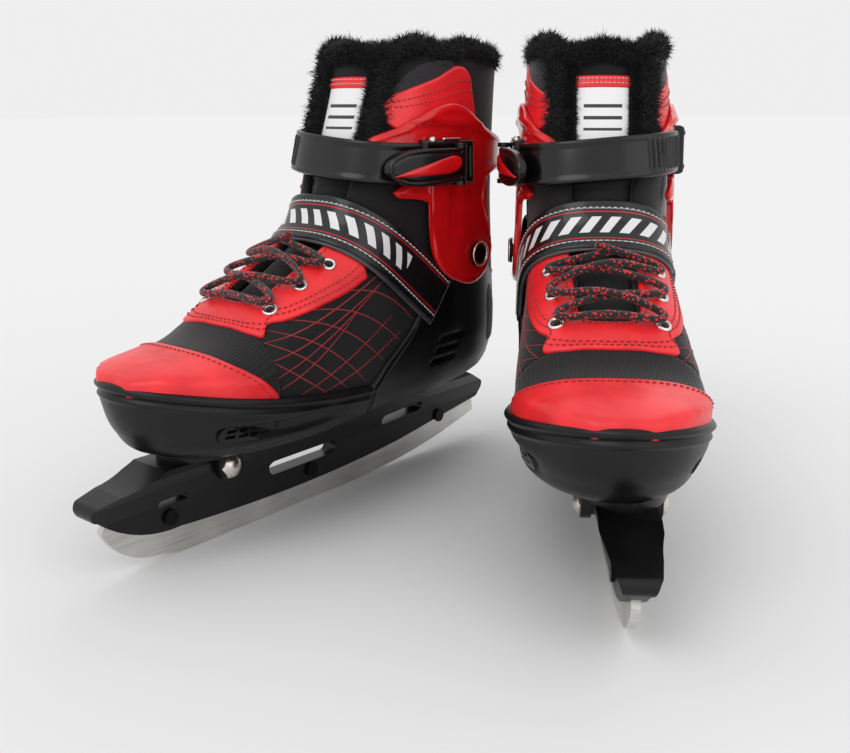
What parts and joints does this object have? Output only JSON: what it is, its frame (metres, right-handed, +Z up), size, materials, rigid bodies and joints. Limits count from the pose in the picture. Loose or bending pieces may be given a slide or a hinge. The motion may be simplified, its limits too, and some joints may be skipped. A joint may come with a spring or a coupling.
{
  "type": "pair of adjustable ice skates",
  "caption": "Pair of soft-boot ice skates with hard shells, hinged cuffs, ratchet buckles, laces, instep straps and steel blades.",
  "frame": {"origin": "middle of the standing pair's bounding box in plan, on the ice under the blades", "axes": "+Z up from the ice; the right skate's toe points along -Y and the left skate's toe is turned 34.6 degrees towards -X"},
  "size_m": [0.3024, 0.3184, 0.259],
  "materials": {
    "blade_steel": "brushed",
    "holder_plastic": "satin",
    "rivet_steel": "polished",
    "bolt_steel": "polished",
    "sole_plastic": "moulded",
    "shell_plastic": "moulded satin",
    "vent_plastic": "moulded",
    "button_plastic": "moulded",
    "spring_steel": "plain",
    "footbed_foam": "brushed",
    "red_leather": "smooth, stitched",
    "ribbed_mesh": "ribbed",
    "black_mesh": "woven",
    "tongue_fabric": "woven",
    "black_fur": "pile",
    "eyelet_metal": "polished",
    "lace_cord": "braided",
    "patent_black": "gloss",
    "cuff_plastic": "moulded gloss",
    "strap_plastic": "moulded",
    "buckle_plastic": "moulded",
    "lever_plastic": "moulded"
  },
  "bodies": {
    "left_base": {"left_blade": "blade_steel", "left_blade_holder": "holder_plastic", "left_blade_rivets": "rivet_steel", "left_boot_upper": "black_mesh", "left_button_spring": "spring_steel", "left_cuff_rivets": "rivet_steel", "left_eyelets": "eyelet_metal", "left_eyestay": "red_leather", "left_footbed": "footbed_foam", "left_frame_bolts": "bolt_steel", "left_heel_shell": "shell_plastic", "left_instep_strap": "patent_black", "left_laces": "lace_cord", "left_sole_plate": "sole_plastic"},
    "left_toe": {"left_toe_shell": "shell_plastic", "left_toe_vents": "vent_plastic", "left_toe_cap": "red_leather", "left_vamp": "ribbed_mesh"},
    "left_cuff": {"left_cuff": "cuff_plastic", "left_boot_collar": "black_mesh", "left_fur_collar": "black_fur", "left_tongue": "tongue_fabric", "left_ratchet_strap": "strap_plastic", "left_strap_anchor": "buckle_plastic", "left_buckle_base": "buckle_plastic", "left_buckle_pin": "rivet_steel"},
    "left_lever": {"left_buckle_lever": "lever_plastic"},
    "left_button": {"left_size_button": "button_plastic"},
    "left_strap_end": {"left_strap_tip": "patent_black"},
    "right_base": {"right_blade": "blade_steel", "right_blade_holder": "holder_plastic", "right_blade_rivets": "rivet_steel", "right_boot_upper": "black_mesh", "right_button_spring": "spring_steel", "right_cuff_rivets": "rivet_steel", "right_eyelets": "eyelet_metal", "right_eyestay": "red_leather", "right_footbed": "footbed_foam", "right_frame_bolts": "bolt_steel", "right_heel_shell": "shell_plastic", "right_instep_strap": "patent_black", "right_laces": "lace_cord", "right_sole_plate": "sole_plastic"},
    "right_toe": {"right_toe_shell": "shell_plastic", "right_toe_vents": "vent_plastic", "right_toe_cap": "red_leather", "right_vamp": "ribbed_mesh"},
    "right_cuff": {"right_cuff": "cuff_plastic", "right_boot_collar": "black_mesh", "right_fur_collar": "black_fur", "right_tongue": "tongue_fabric", "right_ratchet_strap": "strap_plastic", "right_strap_anchor": "buckle_plastic", "right_buckle_base": "buckle_plastic", "right_buckle_pin": "rivet_steel"},
    "right_lever": {"right_buckle_lever": "lever_plastic"},
    "right_button": {"right_size_button": "button_plastic"},
    "right_strap_end": {"right_strap_tip": "patent_black"}
  },
  "joints": [
    {"name": "left_size_slide", "type": "slide", "parent": "left_base", "child": "left_toe", "axis": [-0.5678, -0.8231, 0], "range_m": [0, 0.018]},
    {"name": "left_cuff_tilt", "type": "hinge", "parent": "left_base", "child": "left_cuff", "pos_m": [0.00028, 0.09547, 0.1395], "axis": [0.8231, -0.5678, 0], "range_deg": [-6, 4], "stiffness_Nm_per_rad": 12},
    {"name": "left_buckle_lever", "type": "hinge", "parent": "left_cuff", "child": "left_lever", "pos_m": [0.02742, 0.04394, 0.19336], "axis": [0, 0, 1], "range_deg": [0, 28]},
    {"name": "left_size_button", "type": "slide", "parent": "left_base", "child": "left_button", "axis": [0.8231, -0.5678, 0], "range_m": [0, 0.0025], "stiffness_N_per_m": 600, "deforming": ["left_button_spring"]},
    {"name": "left_strap_peel", "type": "hinge", "parent": "left_base", "child": "left_strap_end", "pos_m": [-0.07795, 0.05779, 0.14995], "axis": [0.3496, 0.5068, 0.788], "range_deg": [0, 45]},
    {"name": "right_size_slide", "type": "slide", "parent": "right_base", "child": "right_toe", "axis": [0, -1, 0], "range_m": [0, 0.018]},
    {"name": "right_cuff_tilt", "type": "hinge", "parent": "right_base", "child": "right_cuff", "pos_m": [0.10287, 0.08585, 0.1395], "axis": [1, 0, 0], "range_deg": [-6, 4], "stiffness_Nm_per_rad": 12},
    {"name": "right_buckle_lever", "type": "hinge", "parent": "right_cuff", "child": "right_lever", "pos_m": [0.05127, 0.05885, 0.19336], "axis": [0, 0, -1], "range_deg": [0, 28]},
    {"name": "right_size_button", "type": "slide", "parent": "right_base", "child": "right_button", "axis": [-1, 0, 0], "range_m": [0, 0.0025], "stiffness_N_per_m": 600, "deforming": ["right_button_spring"]},
    {"name": "right_strap_peel", "type": "hinge", "parent": "right_base", "child": "right_strap_end", "pos_m": [0.14587, 0.01042, 0.14995], "axis": [0, -0.6157, -0.788], "range_deg": [0, 45]},
    {"name": "right_skate_lift", "type": "slide", "parent": "left_base", "child": "right_base", "axis": [0, 0, 1], "range_m": [0, 0.3]}
  ]
}
